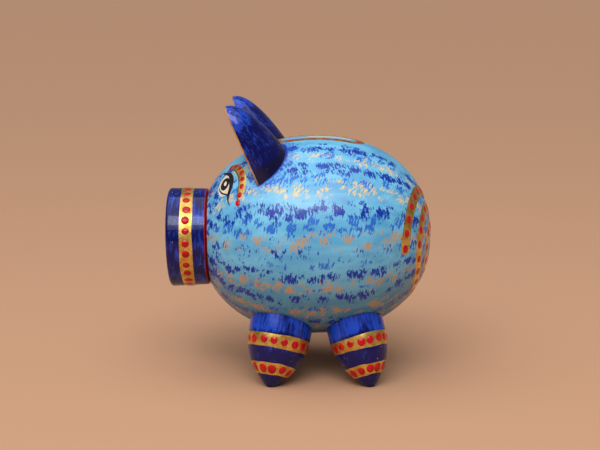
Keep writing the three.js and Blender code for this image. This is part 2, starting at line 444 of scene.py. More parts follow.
def bareBodyWood(paint, spot, girth, ragged):
    # 1 inside the body, in the slot and the neck, and on the nose face inside its red border.
    x, y, z = spot
    power = pigBody["squareness"]
    lengthShare = abs(x) * (1 / pigBody["halfLength"])
    girthShare = girth * (1 / pigBody["radius"])
    level = paint.math("POWER", lengthShare, power) + paint.math("POWER", girthShare, power)
    inside = paint.fade(level + ragged * 0.003, *bodyCuts["depth"]) * paint.fade(
        x, noseStation + 0.4 * mm, noseStation + 0.8 * mm)
    bore = paint.fade(girth, *bodyCuts["bore"]) * paint.fade(x, 0.0, -1 * mm)
    redEnd = pigBody["noseFace"] - bodyPaint["redEdge"]
    face = paint.fade(girth + ragged * (1 * mm), redEnd, redEnd - 0.5 * mm) * paint.fade(
        x, noseStation + 0.5 * mm, noseStation + 0.2 * mm)
    cut = paint.math("MAXIMUM", face, paint.math("MAXIMUM", inside, bore))
    slotRim = paint.fade(level, *bodyCuts["slotRim"]) * paint.fade(z, *bodyCuts["slotHeight"])
    return cut, paint.blend(slotRim, woodColour(paint, z, y, x), bodyPaint["slotEdge"])


def makeBodyPaint(earPlace):
    coat = bodyPaint["coat"]
    paint = Paint("sky_blue_paint", Coat_Weight=coat, Coat_Roughness=0.18, Specular_IOR_Level=0.25)
    spot = x, y, z = paint.seenFrom(pigFrame)
    everywhere = paint.join(x, y, z)
    girth = paint.math("SQRT", y * y + z * z)
    turned = paint.math("ARCTAN2", abs(y), z)
    drift = paint.noise(everywhere, dabPaint["driftSize"], 1) - 0.5
    share = (turned + drift * dabPaint["rowDrift"]) * (1 / math.pi)
    arc = turned * pigBody["radius"]

    def row(kind, spread=1.0, width=dabPaint["rowWidth"]):
        peaks = [(degrees / 180, height) for degrees, height in dabPaint[kind + "Rows"]]
        return paint.rows(share, peaks, width / 180 * spread)

    noseEnd, tailEnd = (paint.fade(x, low, high) * strength for low, high, strength in (
        dabPaint["noseCrowd"], dabPaint["tailCrowd"]))
    lean = (arc - 2 * dabPaint["upright"]) * (dabPaint["leanRate"] / 2)

    brushed = paint.join(x * bodyPaint["brushStretch"], y, z)
    brushed = paint.fade(paint.noise(brushed, bodyPaint["brushWidth"], 4), 0.35, 0.7)
    base = paint.blend(brushed, bodyPaint["sky"], bodyPaint["deepSky"])
    # painted shade: the blue darkens towards the bottom of the body
    bellyShade = paint.fade(share, *bodyPaint["bellyShade"]) * bodyPaint["bellyShadeStrength"]
    base = paint.blend(bellyShade, base, bodyPaint["shadedUnderside"])
    # painted highlight: lavender on the dabs where the lamp's reflection falls
    dabsAndSheen = paint.fade(paint.noise(everywhere, 3.2 * mm, 4, 0.65), 0.5, 0.72)
    dabsAndSheen = row("dabsAndSheen", width=dabPaint["dabsAndSheenWidth"]) * dabsAndSheen * dabPaint["dabsAndSheenStrength"]
    base = paint.blend(dabsAndSheen, base, bodyPaint["dabsAndSheen"])
    rows = {"mid": row("mid", dabPaint["midSpread"]) + tailEnd, "gold": row("gold"),
            "copper": row("copper")}
    marks = {}
    for kind in rows:
        marks[kind] = dabs(paint, (x, y, z, arc), rows[kind], kind)
        base = paint.blend(marks[kind] * dabPaint[kind][-1], base, bodyPaint[kind])
    dark = dabs(paint, (x, y, z, arc), row("dark") + noseEnd + tailEnd, "dark", lean)
    thin = paint.fade(paint.noise(everywhere, 2 * mm, 3), 0.5, 0.7) * 0.6
    base = paint.blend(dark, base, paint.blend(thin, bodyPaint["dark"], bodyPaint["mid"]))

    ragged = paint.noise(everywhere, 2.4 * mm, 4, 0.6) - 0.5
    base = paintRoundEars(paint, base, spot, ragged, earPlace)
    border = paint.fade(x + ragged * (0.8 * mm), *bodyCuts["redBorder"])
    base = paint.blend(border, base, bodyPaint["red"])
    cut, wood = bareBodyWood(paint, spot, girth, ragged)
    paint.feed("Base Color", paint.blend(cut, base, wood))
    paint.feed("Coat Weight", paint.fade(cut, 0.2, 0.8, coat, 0.0))
    gloss = paint.fade(paint.noise(everywhere, 5 * mm, 4), 0.3, 0.7, 0.3, 0.44)
    paint.feed("Roughness", paint.fade(cut, 0.3, 0.7, 0.0, 0.38) + gloss)
    grain = paint.noise(paint.join(x * 0.12, y, z), 0.9 * mm, 3)
    raised = dark
    for mark in marks.values():
        raised = paint.math("MAXIMUM", raised, mark)
    unevenness = paint.noise(everywhere, 2.5 * mm, 2)
    paint.relief(grain * 0.45 + raised * 0.4 + unevenness * 0.5, bodyPaint["relief"])
    return paint.material


# Dark blue: brush strokes along a turned piece or round it

bluePaint = {
    "navy": colour(6, 12, 84),
    "royal": colour(30, 72, 196),
    "violet": colour(56, 48, 150),
    "chip": colour(226, 212, 186),
    "rubbed": colour(140, 60, 34),
    "black": colour(14, 14, 34),
    "coat": 0.6,
    "strokeWidth": 1.5 * mm,
    "strokeStretch": 0.16,
    "broadSize": 9 * mm,
    "broadShare": 0.7,
    "royalEdge": (0.38, 0.7),
    # size of the pattern, detail, roughness, where it starts and is full, and its strength
    "violetStreaks": (3 * mm, 3, 0.6, 0.55, 0.75, 0.3),
    "blackStreaks": (2.2 * mm, 4, 0.7, 0.66, 0.72, 0.6),
    "chips": (1.3 * mm, 2, 0.5, 0.745, 0.77, 1),
    "footHeight": 1.5 * mm,
    "relief": 0.1 * mm,
}


def makeBluePaint(name, place, brightness, darkFoot=None, roundTheAxis=False, trim=None):
    # brightness is (height, share of royal blue) pairs up the piece; darkFoot is where it meets
    # the body; trim paints over the blue and gives the share left as bare wood.
    coat = bluePaint["coat"]
    paint = Paint(name, Coat_Roughness=0.1, Coat_Weight=coat, Specular_IOR_Level=0.05)
    x, y, z = paint.seenFrom(place)
    everywhere = paint.join(x, y, z)
    stretch = bluePaint["strokeStretch"]
    if roundTheAxis:
        brushed = paint.join(x * stretch, y * stretch, z)
    else:
        brushed = paint.join(x, y, z * stretch)
    strokes = paint.noise(brushed, bluePaint["strokeWidth"], 4, 0.6)
    broad = paint.noise(everywhere, bluePaint["broadSize"], 3) - 0.5
    royal = strokes + broad * bluePaint["broadShare"] + (brightness[0][1] - 0.5)
    for (below, before), (above, after) in zip(brightness, brightness[1:]):
        royal = royal + paint.fade(z, below, above, 0.0, after - before)
    base = paint.blend(paint.fade(royal, *bluePaint["royalEdge"]), bluePaint["navy"],
                       bluePaint["royal"])
    for kind, where, shade in (("violetStreaks", brushed, "violet"), ("chips", everywhere, "chip"),
                               ("blackStreaks", brushed, "black")):
        size, detail, roughness, start, full, strength = bluePaint[kind]
        mark = paint.fade(paint.noise(where, size, detail, roughness), start, full)
        base = paint.blend(mark * strength, base, bluePaint[shade])
    if darkFoot is not None:
        footEnd = darkFoot + bluePaint["footHeight"]
        foot = paint.fade(z + (strokes - 0.5) * (2 * mm), footEnd, darkFoot)
        base = paint.blend(foot * 0.7, base, bluePaint["black"])
    gloss = paint.fade(paint.noise(everywhere, 3 * mm, 4), 0.3, 0.7, 0.26, 0.42)
    if trim:
        base, bare = trim(paint, base, (x, y, z), strokes)
        if bare:
            paint.feed("Coat Weight", paint.fade(bare, 0.2, 0.8, coat, 0.0))
            gloss = gloss + bare * 0.25
    paint.feed("Base Color", base)
    paint.feed("Roughness", gloss)
    unevenness = paint.noise(everywhere, 1.6 * mm, 3)
    paint.relief(strokes * 0.6 + unevenness * 0.4, bluePaint["relief"])
    return paint.material


def woodColour(paint, x, y, z):
    # Turned wood with its grain along z.
    rings = paint.noise(paint.join(x, y, z * 0.12), 1.1 * mm, 3)
    return paint.blend(paint.fade(rings, 0.35, 0.7), bodyPaint["wood"], bodyPaint["woodGrain"])


goldPaint = {
    "bright": colour(236, 204, 106),
    "deep": colour(196, 146, 56),
    "worn": colour(112, 78, 44),
    "flake": 0.7 * mm,
    "wornPatch": 4.2 * mm,
    "relief": 0.04 * mm,
}


def makeGoldPaint():
    paint = Paint("gold_paint", Metallic=0.9, Coat_Weight=0.3, Coat_Roughness=0.18)
    where = paint.join(*paint.seenFrom(pigFrame))
    tone = paint.noise(where, 5 * mm, 3)
    flakes = paint.noise(where, goldPaint["flake"], 2)
    base = paint.blend(paint.fade(tone + (flakes - 0.5) * 0.5, 0.3, 0.7), goldPaint["deep"],
                       goldPaint["bright"])
    rubbed = paint.noise(where, goldPaint["wornPatch"], 5, 0.68)
    base = paint.blend(paint.fade(rubbed, 0.58, 0.72) * 0.7, base, goldPaint["worn"])
    paint.feed("Base Color", base)
    paint.feed("Roughness", paint.fade(flakes, 0.3, 0.7, 0.3, 0.46))
    paint.relief(flakes, goldPaint["relief"])
    return paint.material


dotPaint = {
    "red_paint": (colour(204, 10, 22), colour(160, 4, 14)),
    "black_paint": (colour(16, 12, 18), colour(34, 28, 36)),
    "white_paint": (colour(238, 228, 208), colour(222, 206, 180)),
    "mottle": 2.5 * mm,
    "roughness": (0.3, 0.42),
    "relief": 0.04 * mm,
}


def makeDotPaint(name):
    paint = Paint(name, Coat_Weight=0.45, Coat_Roughness=0.12, Specular_IOR_Level=0.15)
    where = paint.join(*paint.seenFrom(pigFrame))
    tone = paint.noise(where, dotPaint["mottle"], 3)
    paint.feed("Base Color", paint.blend(paint.fade(tone, 0.35, 0.7), *dotPaint[name]))
    paint.feed("Roughness", paint.fade(tone, 0.3, 0.7, *dotPaint["roughness"]))
    paint.relief(paint.noise(where, 0.8 * mm, 2), dotPaint["relief"])
    return paint.material


def makeBareWood():
    paint = Paint("bare_wood", Roughness=0.62)
    x, y, z = paint.seenFrom(pigFrame)
    pores = paint.fade(paint.noise(paint.join(x, y, z * 0.08), 0.35 * mm, 2), 0.6, 0.7)
    base = paint.blend(pores * 0.4, woodColour(paint, x, y, z), bodyPaint["woodGrain"])
    paint.feed("Base Color", base)
    paint.relief(paint.noise(paint.join(x, y, z * 0.15), 1 * mm, 3), 0.06 * mm)
    return paint.material


finishes["gold_paint"] = makeGoldPaint()
for name in ("red_paint", "black_paint", "white_paint"):
    finishes[name] = makeDotPaint(name)
finishes["bare_wood"] = makeBareWood()
print("paints mixed")


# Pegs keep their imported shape, in bare wood

def pegEnds(node):
    # Middles of a peg's inner and outer ends.
    corners = {tuple(round(c, 7) for c in v.co) for v in frame["nodes"][node].data.vertices}
    corners = [Vector(c) for c in sorted(corners)]
    middle = sum(corners, Vector()) / len(corners)
    ends = []
    for side in (-1, 1):
        part = [c for c in corners if side * (c - middle).dot(middle - pigCentre) > 0]
        ends.append(sum(part, Vector()) / len(part))
    return ends


for node, shape in frame["nodes"].items():
    if "peg" in node:
        shape.data.materials.clear()
        shape.data.materials.append(finishes["bare_wood"])


# Legs

legShape = {
    "tipRadius": 2.5 * mm,
    "acornLength": 37.3 * mm,
    "acornPower": 2.8,
    "levelling": 0.8 * mm,
    "pegInBody": 7 * mm,
    "pegRadius": 4.3 * mm,
    "pegDepth": 15.3 * mm,
    "gap": 0.3 * mm,
    "facets": 96,
    "steps": 44,
}


def legRadius(fromTip, greatest):
    tip = legShape["tipRadius"]
    share = min(1, max(0, fromTip / legShape["acornLength"]))
    return tip + (greatest - tip) * (1 - (1 - share) ** legShape["acornPower"])


def grownBody(gap, facets=128, steps=64):
    length, radius = pigBody["halfLength"] + gap, pigBody["radius"] + gap
    line = ovalLine(length, radius, pigBody["noseFace"], steps)
    return turn([(0, line[0][1]), *line], facets, pigFrame @ turnedAlong)


def makeLeg(name, greatest):
    # Returns the leg with its frame, whose Z runs from the seat to the tip, and its length.
    inner, outer = pegEnds("leg_peg_" + name)
    outward = (outer - inner).normalized()
    seat = inner + outward * legShape["pegInBody"]
    place = frameAt(seat, outward, -tailward)
    tip = legShape["tipRadius"]
    lift = tip * math.sqrt(1 - outward.z ** 2) - legShape["levelling"]
    length = (seat.z - lift) / -outward.z
    outline = [(0, length), (tip, length)]
    for step in range(1, legShape["steps"] + 1):
        fromTip = legShape["acornLength"] * (step / legShape["steps"]) ** 1.15
        outline.append((legRadius(fromTip, greatest), length - fromTip))
    outline += [(greatest, -greatest), (0, -greatest)]
    leg = turn(outline[::-1], legShape["facets"], place)
    bore = roundBar(legShape["pegRadius"], -greatest, legShape["pegDepth"], place)
    carve(leg, grownBody(legShape["gap"]), bore)
    startEditing(leg)
    bpy.ops.mesh.bisect(plane_co=(0, 0, 0), plane_no=(0, 0, 1), use_fill=True, clear_inner=True,
                        threshold=1e-7)
    stopEditing()
    return leg, place, length


# Ears

earShape = {
    "length": 37 * mm,
    "ovalLength": 121.7 * mm,
    "ovalRadius": 28.7 * mm,
    "pegBehindFlat": 8.5 * mm,
    "pegRadius": 3.3 * mm,
    "pegDepth": 12.3 * mm,
    "pegInBody": 7 * mm,
    "gap": 0.3 * mm,
    "facets": 96,
    "steps": 44,
    "edgeRound": 0.5 * mm,
}


def earRadius(fromTip):
    share = 1 - fromTip / earShape["ovalLength"]
    return earShape["ovalRadius"] * math.sqrt(max(0, 1 - share ** 2))


def earPlace(name):
    # An ear's frame: Z from its seat to its tip, X out of its flat side; and its peg's inner end.
    inner, outer = (intoPig @ end for end in pegEnds("ear_peg_" + name))
    axis = (outer - inner).normalized()
    lean = math.atan2(-axis.x, axis.z)
    forward = Vector((-math.cos(lean), 0, -math.sin(lean)))
    seat = ontoBody(outer + forward * earShape["pegBehindFlat"], axis)
    return frameAt(seat, axis, forward), frameAt(inner, axis, forward)


def makeEar(name):
    place, pegPlace = earPlace(name)
    stock = earRadius(earShape["length"])
    outline = []
    for step in range(earShape["steps"] + 1):
        fromTip = (earShape["length"] + stock) * (step / earShape["steps"]) ** 1.7
        outline.append((earRadius(fromTip), earShape["length"] - fromTip))
    outline.append((0, -stock))
    ear = turn(outline[::-1], earShape["facets"], pigFrame @ place)
    startEditing(ear)
    worldPlace = pigFrame @ place
    bpy.ops.mesh.bisect(plane_co=worldPlace.translation, plane_no=worldPlace.col[0].to_3d(),
                        use_fill=True, clear_outer=True, threshold=1e-7)
    stopEditing()
    applyModifier(ear, "BEVEL", width=earShape["edgeRound"], segments=3, limit_method="ANGLE",
                  angle_limit=math.radians(50))
    bore = roundBar(earShape["pegRadius"], 0, earShape["pegInBody"] + earShape["pegDepth"],
                    pigFrame @ pegPlace)
    carve(ear, grownBody(earShape["gap"]), bore)
    return ear, place


# Snout

snoutShape = {
    "length": 23.2 * mm,
    "frontRadius": 29.5 * mm,
    "backRadius": 28.8 * mm,
    "rimRound": 2 * mm,
    "backRound": 0.5 * mm,
    "spigotRadius": 18.5 * mm,
    "spigotLength": 12 * mm,
    "gap": 0.5 * mm,
    "facets": 128,
}
snoutBack = noseStation - snoutShape["gap"]
snoutFront = snoutBack - snoutShape["length"]


def snoutRadius(station):
    share = (station - snoutFront) / snoutShape["length"]
    front, back = snoutShape["frontRadius"], snoutShape["backRadius"]
    return front + share * (back - front)


def makeSnout():
    rim, front, back = snoutShape["rimRound"], snoutShape["frontRadius"], snoutShape["backRadius"]
    soft = snoutShape["backRound"]
    outline = [(0, snoutFront), (front * 0.4, snoutFront), (front - rim - 1 * mm, snoutFront)]
    for step in range(9):
        angle = math.pi / 2 * step / 8
        outline.append((front - rim + rim * math.sin(angle),
                        snoutFront + rim - rim * math.cos(angle)))
    for step in range(1, 6):
        station = snoutFront + rim + (snoutShape["length"] - rim - soft) * step / 6
        outline.append((snoutRadius(station), station))
    for step in range(5):
        angle = math.pi / 2 * step / 4
        outline.append((back - soft + soft * math.cos(angle),
                        snoutBack - soft + soft * math.sin(angle)))
    spigot, end = snoutShape["spigotRadius"], noseStation + snoutShape["spigotLength"]
    outline += [(spigot + 0.4 * mm, snoutBack), (spigot, snoutBack + 0.1 * mm),
                (spigot, end - 1 * mm), (spigot - 0.3 * mm, end - 0.3 * mm),
                (spigot - 1 * mm, end), (0, end)]
    return turn(outline, snoutShape["facets"], pigFrame @ turnedAlong)


# Body

def makeBody(legPlaces, earPegPlaces):
    length, radius, wall = pigBody["halfLength"], pigBody["radius"], pigBody["wall"]
    soft, neck, power = pigBody["noseRound"], pigBody["neckRadius"], pigBody["squareness"]
    outer = ovalLine(length, radius, pigBody["noseFace"] + soft, pigBody["steps"])
    inEnd, outEnd = noseStation + pigBody["neckDepth"], length - wall
    half, middle = (outEnd - inEnd) / 2, (outEnd + inEnd) / 2
    inner = [(r, x + middle) for r, x in ovalLine(half, radius - wall, 0, pigBody["insideSteps"])]
    inner = [(r, x) for r, x in inner if x > middle or r > neck + 1 * mm]
    edge = pigBody["neckRound"]
    rim = [(neck, noseStation + 6 * mm), (neck, noseStation + edge), (neck + edge, noseStation),
           (pigBody["noseFace"] - soft, noseStation)]
    start = outer[0]
    for step in (1, 2):
        bend = step / 3 * math.pi / 2
        rim.append((rim[3][0] + (start[0] - rim[3][0]) * math.sin(bend),
                    noseStation + (start[1] - noseStation) * (1 - math.cos(bend))))
    neckEnd = half * (1 - (neck / (radius - wall)) ** power) ** (1 / power)
    outline = outer[::-1] + rim[::-1] + [(neck, middle - neckEnd)] + inner
    body = turn(outline, pigBody["around"], pigFrame @ turnedAlong)

    width, long = pigBody["slotWidth"], pigBody["slotLength"]
    clearSelection()
    bpy.ops.mesh.primitive_cube_add(size=1, location=(pigBody["slotStation"], 0, radius),
                                    scale=(long, width, radius))
    slot = bpy.context.object
    settlePlace(slot)
    startEditing(slot)
    bpy.ops.mesh.select_all(action="DESELECT")
    stopEditing()
    for edge in slot.data.edges:
        ends = [slot.data.vertices[i].co for i in edge.vertices]
        edge.select = abs(ends[0].z - ends[1].z) > width
    bpy.ops.object.mode_set(mode="EDIT")
    bpy.ops.mesh.select_mode(type="EDGE")
    bpy.ops.mesh.bevel(offset=width * 0.499, segments=10, affect="EDGES")
    stopEditing()
    slot.matrix_world = pigFrame
    settlePlace(slot)
    carve(body, slot)
    applyModifier(body, "BEVEL", width=pigBody["slotRound"], segments=2, limit_method="ANGLE",
                  angle_limit=math.radians(60))
    bores = [roundBar(legShape["pegRadius"], -legShape["pegInBody"] - 0.3 * mm, 8 * mm, place)
             for place in legPlaces]
    bores += [roundBar(earShape["pegRadius"], -0.3 * mm, 16 * mm, pigFrame @ place)
              for place in earPegPlaces]
    carve(body, joinPieces(bores))
    return body


legPieces = {}
for name in ("front_left", "front_right", "rear_left", "rear_right"):
    greatest = 18.4 * mm if "front" in name else 16.9 * mm
    legPieces[name] = (*makeLeg(name, greatest), greatest)
print("legs turned")
earPieces = {name: makeEar(name) for name in ("left", "right")}
print("ears turned")
snout = makeSnout()
body = makeBody([legPieces[n][1] for n in legPieces], [earPlace(n)[1] for n in earPieces])
print("body and snout turned")


# Painted decoration: thin films of paint and raised dots laid on the pieces

def smoothLine(points, share):
    # A point part of the way along a smooth line through the given points.
    reach = share * (len(points) - 1)
    index = min(len(points) - 2, int(reach))
    t = reach - index
    before, start = Vector(points[max(0, index - 1)]), Vector(points[index])
    end, after = Vector(points[index + 1]), Vector(points[min(len(points) - 1, index + 2)])
    square, cube = 2 * before - 5 * start + 4 * end - after, 3 * start - before - 3 * end + after
    return 0.5 * (2 * start + (end - before) * t + square * t ** 2 + cube * t ** 3)


def wander(seed, size, waves):
    # A closed wavering line, from 0 to 1 along it, as a brush leaves it.
    dice = random.Random(seed)
    parts = [(n, size * dice.uniform(0.4, 1) / n ** 0.6, dice.uniform(0, 2 * math.pi))
             for n in waves]
    return lambda share: sum(a * math.sin(2 * math.pi * n * share + p) for n, a, p in parts)


film = {
    "thickness": 0.14 * mm,
    "sunk": 0.06 * mm,  # how far its back lies under the surface
    "rim": 0.45,  # share of the thickness left at its edge
}


def layFilm(steps, across, place, middle, layer=0):
    # A strip of paint: place(along, side) gives a point on the surface and its outward direction.
    clearSelection()
    bpy.ops.mesh.primitive_grid_add(x_subdivisions=steps, y_subdivisions=across, size=2)
    strip = bpy.context.object
    lift = layer * film["thickness"] - (0 if layer else film["sunk"])
    for vertex in strip.data.vertices:
        point, outward = place((vertex.co.x + 1) / 2, vertex.co.y)
        vertex.co = point + outward * lift
    startEditing(strip)
    bpy.ops.mesh.remove_doubles(threshold=5e-6)
    stopEditing()
    facing = sum(face.normal.dot(face.center - middle) for face in strip.data.polygons)
    startEditing(strip)
    if facing < 0:
        bpy.ops.mesh.flip_normals()
    bpy.ops.mesh.region_to_loop()
    stopEditing()
    rim = [v.index for v in strip.data.vertices if v.select]
    inner = [v.index for v in strip.data.vertices if not v.select]
    group = strip.vertex_groups.new(name="film")
    group.add(rim, film["rim"], "REPLACE")
    group.add(inner, 1, "REPLACE")
    thickness = film["thickness"] + (0 if layer else film["sunk"])
    applyModifier(strip, "SOLIDIFY", thickness=thickness, offset=1, vertex_group="film")
    strip.vertex_groups.clear()
    return strip


dotShape = {
    "height": 0.36 * mm,
    "sunk": 0.1 * mm,
    "sides": 14,
    "shoulder": 0.75,  # share of the height at which it rounds over
    "shoulderWidth": 0.86,
}


def makeDot():
    # One raised dot of paint, a unit wide each way and a unit high.
    clearSelection()
    bpy.ops.mesh.primitive_circle_add(vertices=dotShape["sides"], radius=1, fill_type="NGON",
                                      location=(0, 0, 0))
    dot = bpy.context.object
    shoulder, width = dotShape["shoulder"], dotShape["shoulderWidth"]
    startEditing(dot)
    bpy.ops.mesh.extrude_region_move(TRANSFORM_OT_translate={"value": (0, 0, shoulder)})
    bpy.ops.transform.resize(value=(width, width, 1))
    bpy.ops.mesh.extrude_region_move(TRANSFORM_OT_translate={"value": (0, 0, 1 - shoulder)})
    bpy.ops.mesh.merge(type="CENTER")
    stopEditing()
    return dot


plainDot = makeDot()


def stampDots(spots):
    # Copies of the dot; each spot turns (side, side, up) in metres into a place on the surface.
    copies = []
    rise, sunk = dotShape["height"] + dotShape["sunk"], dotShape["sunk"]
    for size, spot in spots:
        copy = plainDot.copy()
        copy.data = plainDot.data.copy()
        bpy.context.collection.objects.link(copy)
        for vertex in copy.data.vertices:
            x, y, z = vertex.co
            point, outward = spot(x * size[0], y * size[1])
            vertex.co = point + outward * (z * rise - sunk)
        copies.append(copy)
    dots = joinPieces(copies)
    faceOutward(dots)
    return dots


def onTurned(place, radiusAt):
    # Surface of a turned piece, by the way round it and the height.
    def point(turned, height):
        radius = radiusAt(height)
        slope = (radiusAt(height + 0.05 * mm) - radiusAt(height - 0.05 * mm)) / (0.1 * mm)
        around = Vector((math.cos(turned), math.sin(turned), 0))
        outward = (around - Vector((0, 0, slope))).normalized()
        return place @ (around * radius + Vector((0, 0, height))), place.to_3x3() @ outward
    return point


def bandRound(surface, low, high, seed, waver, steps=160, across=6):
    # A painted band round a turned piece, with its own wavering edges.
    edges = [wander(seed + i, waver, (1, 2, 3, 5, 9)) for i in (0, 1)]

    def place(along, side):
        bottom, top = low + edges[0](along), high + edges[1](along)
        return surface(2 * math.pi * along, bottom + (top - bottom) * (side + 1) / 2)
    return place, steps, across, lambda along: (low + high + edges[0](along) + edges[1](along)) / 2


def dotsRound(surface, radiusAt, middle, count, size, seed, start=0.0):
    dice = random.Random(seed)
    spots = []
    for index in range(count):
        share = (index + start + dice.uniform(-0.08, 0.08)) / count % 1
        height = middle(share) + dice.uniform(-0.3, 0.3) * mm
        scale = dice.uniform(0.9, 1.1)

        def spot(x, y, share=share, height=height):
            return surface(2 * math.pi * share + y / radiusAt(height), height + x)
        spots.append(((size * scale, size * scale * dice.uniform(0.92, 1.08)), spot))
    return spots


# Legs: two gold bands with red dots

legBands = {
    "lower": (6.3 * mm, 12.5 * mm),  # from the tip
    "upper": (21.5 * mm, 29.2 * mm),
    "lowerDots": 12,
    "upperDots": 17,
    "dotSize": 2.5 * mm,
    "waver": 0.34 * mm,
    # share of royal blue by distance from the tip
    "brightness": [(32.2 * mm, 0.64), (28.2 * mm, 0.36), (0, 0.26)],
}
for index, (name, (leg, place, length, greatest)) in enumerate(legPieces.items()):
    def radiusAt(height, length=length, greatest=greatest):
        return legRadius(length - height, greatest)
    surface = onTurned(place, radiusAt)
    films, spots = [], []
    for key, count in (("lower", legBands["lowerDots"]), ("upper", legBands["upperDots"])):
        near, far = legBands[key]
        seed = 40 + index * 10 + len(films) * 3
        put, steps, across, middle = bandRound(surface, length - far, length - near, seed,
                                               legBands["waver"])
        films.append(layFilm(steps, across, put, place @ Vector((0, 0, length - near))))
        spots += dotsRound(surface, radiusAt, middle, count, legBands["dotSize"], seed + 7,
                           index * 0.37)
    finish(joinPieces(films), "leg_bands_" + name, "gold_paint")
    finish(stampDots(spots), "leg_dots_" + name, "red_paint", smooth=50)
    shades = [(length - height, share) for height, share in legBands["brightness"]]
    blue = makeBluePaint("leg_blue_" + name, place, shades)
    finish(leg, "leg_turned_" + name, "dark_blue_paint", material=blue)
    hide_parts("leg_" + name)
print("legs painted")


# Snout: one band, its dots, the red back rim and two nostrils

snoutPaint = {
    "bandStart": 8.2 * mm,  # from the front face
    "bandEnd": 15.6 * mm,
    "waver": 0.45 * mm,
    "dots": 27,
    "dotSize": 2.55 * mm,
    "redRim": 0.55 * mm,
    "nostrilApart": 9.5 * mm,
    "nostrilSize": (5.2 * mm, 3.4 * mm),
    "brightness": [(snoutFront, 0.4), (snoutBack, 0.46)],
}
snoutPlace = pigFrame @ turnedAlong
surface = onTurned(snoutPlace, snoutRadius)
put, steps, across, middle = bandRound(
    surface, snoutFront + snoutPaint["bandStart"], snoutFront + snoutPaint["bandEnd"], 7,
    snoutPaint["waver"], 192)
band = layFilm(steps, across, put, snoutPlace @ Vector((0, 0, snoutFront)))
finish(band, "snout_band", "gold_paint", "snout")
dots = dotsRound(surface, snoutRadius, middle, snoutPaint["dots"], snoutPaint["dotSize"], 8)
finish(stampDots(dots), "snout_dots", "red_paint", "snout", 50)

nostrils = []
for side in (-1, 1):
    def onFace(x, y, side=side):
        return pigFrame @ Vector((snoutFront, side * snoutPaint["nostrilApart"] + y, x)), -tailward
    nostrils.append((snoutPaint["nostrilSize"], onFace))
finish(stampDots(nostrils), "snout_nostrils", "black_paint", "snout", 50)


def redAndBare(paint, base, spot, brush):
    # Red round the back edge, then bare wood on the back face and the spigot.
    x, y, z = spot
    start = snoutBack - snoutPaint["redRim"]
    rim = paint.fade(z + (brush - 0.5) * (0.9 * mm), start - 0.3 * mm, start)
    base = paint.blend(rim, base, bodyPaint["red"])
    reach = paint.math("SQRT", x * x + y * y)
    painted = snoutShape["backRadius"] - bodyPaint["redEdge"]
    bare = paint.fade(reach, painted, painted - 0.5 * mm) * paint.fade(
        z, snoutBack - 0.5 * mm, snoutBack - 0.2 * mm)
    return paint.blend(bare, base, woodColour(paint, x, y, z)), bare


blue = makeBluePaint("snout_blue", snoutPlace, snoutPaint["brightness"], roundTheAxis=True,
                     trim=redAndBare)
finish(snout, "snout_turned", "dark_blue_paint", "snout", material=blue)
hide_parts("snout_stopper")
print("snout painted")


# Ears

earPaint = {
    # the royal share rises from the foot to the tip: painted shade at the foot and a painted
    # highlight towards the tip
    "brightness": [(0, 0.3), (18 * mm, 0.42), (earShape["length"], 0.6)],
    "darkFoot": 1.5 * mm,
    "copperEdge": (-0.9 * mm, -0.5 * mm),  # from the flat side
    "rubbedPatch": 9 * mm,
}


def copperFlat(paint, base, spot, brush):
    # The flat side and its edge, rubbed in places.
    patches = paint.noise(paint.join(*spot), earPaint["rubbedPatch"], 3)
    rubbed = paint.fade(patches + brush * 0.4, 0.55, 0.95)
    shade = paint.blend(rubbed, bodyPaint["copper"], bluePaint["rubbed"])
    edge = paint.fade(spot[0] + (brush - 0.5) * (0.9 * mm), *earPaint["copperEdge"])
    return paint.blend(edge, base, shade), None


for name, (ear, place) in earPieces.items():
    blue = makeBluePaint("ear_blue_" + name, pigFrame @ place, earPaint["brightness"],
                         earPaint["darkFoot"], trim=copperFlat)
    finish(ear, "ear_turned_" + name, "dark_blue_paint", material=blue)
    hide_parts("ear_" + name)
print("ears painted")


# Body decoration

def inScene(spot, mirror=Vector((1, 1, 1))):
    # A spot on the body and its outward direction, from the pig's frame.
    return pigFrame @ (spot * mirror), pigAxes @ (bodyLevel(spot)[1].normalized() * mirror)


def onPatch(centre, mirrored):
    # Surface near a place on the body, by distances towards the tail and up from it.
    outward = bodyLevel(centre)[1].normalized()
    tail = (Vector((1, 0, 0)) - outward * outward.x).normalized()
    up = outward.cross(tail)
    if up.z < 0:
        up.negate()
    mirror = Vector((1, -1 if mirrored else 1, 1))
    return lambda x, y: inScene(ontoBody(centre + tail * x + up * y, outward), mirror)


def between(surface, one, other):
    # Fills the shape between two smooth lines of (towards the tail, up) pairs in millimetres.
    def place(along, side):
        a, b = smoothLine(one, along), smoothLine(other, along)
        spot = (a + (b - a) * (side + 1) / 2) * mm
        return surface(spot.x, spot.y)
    return place


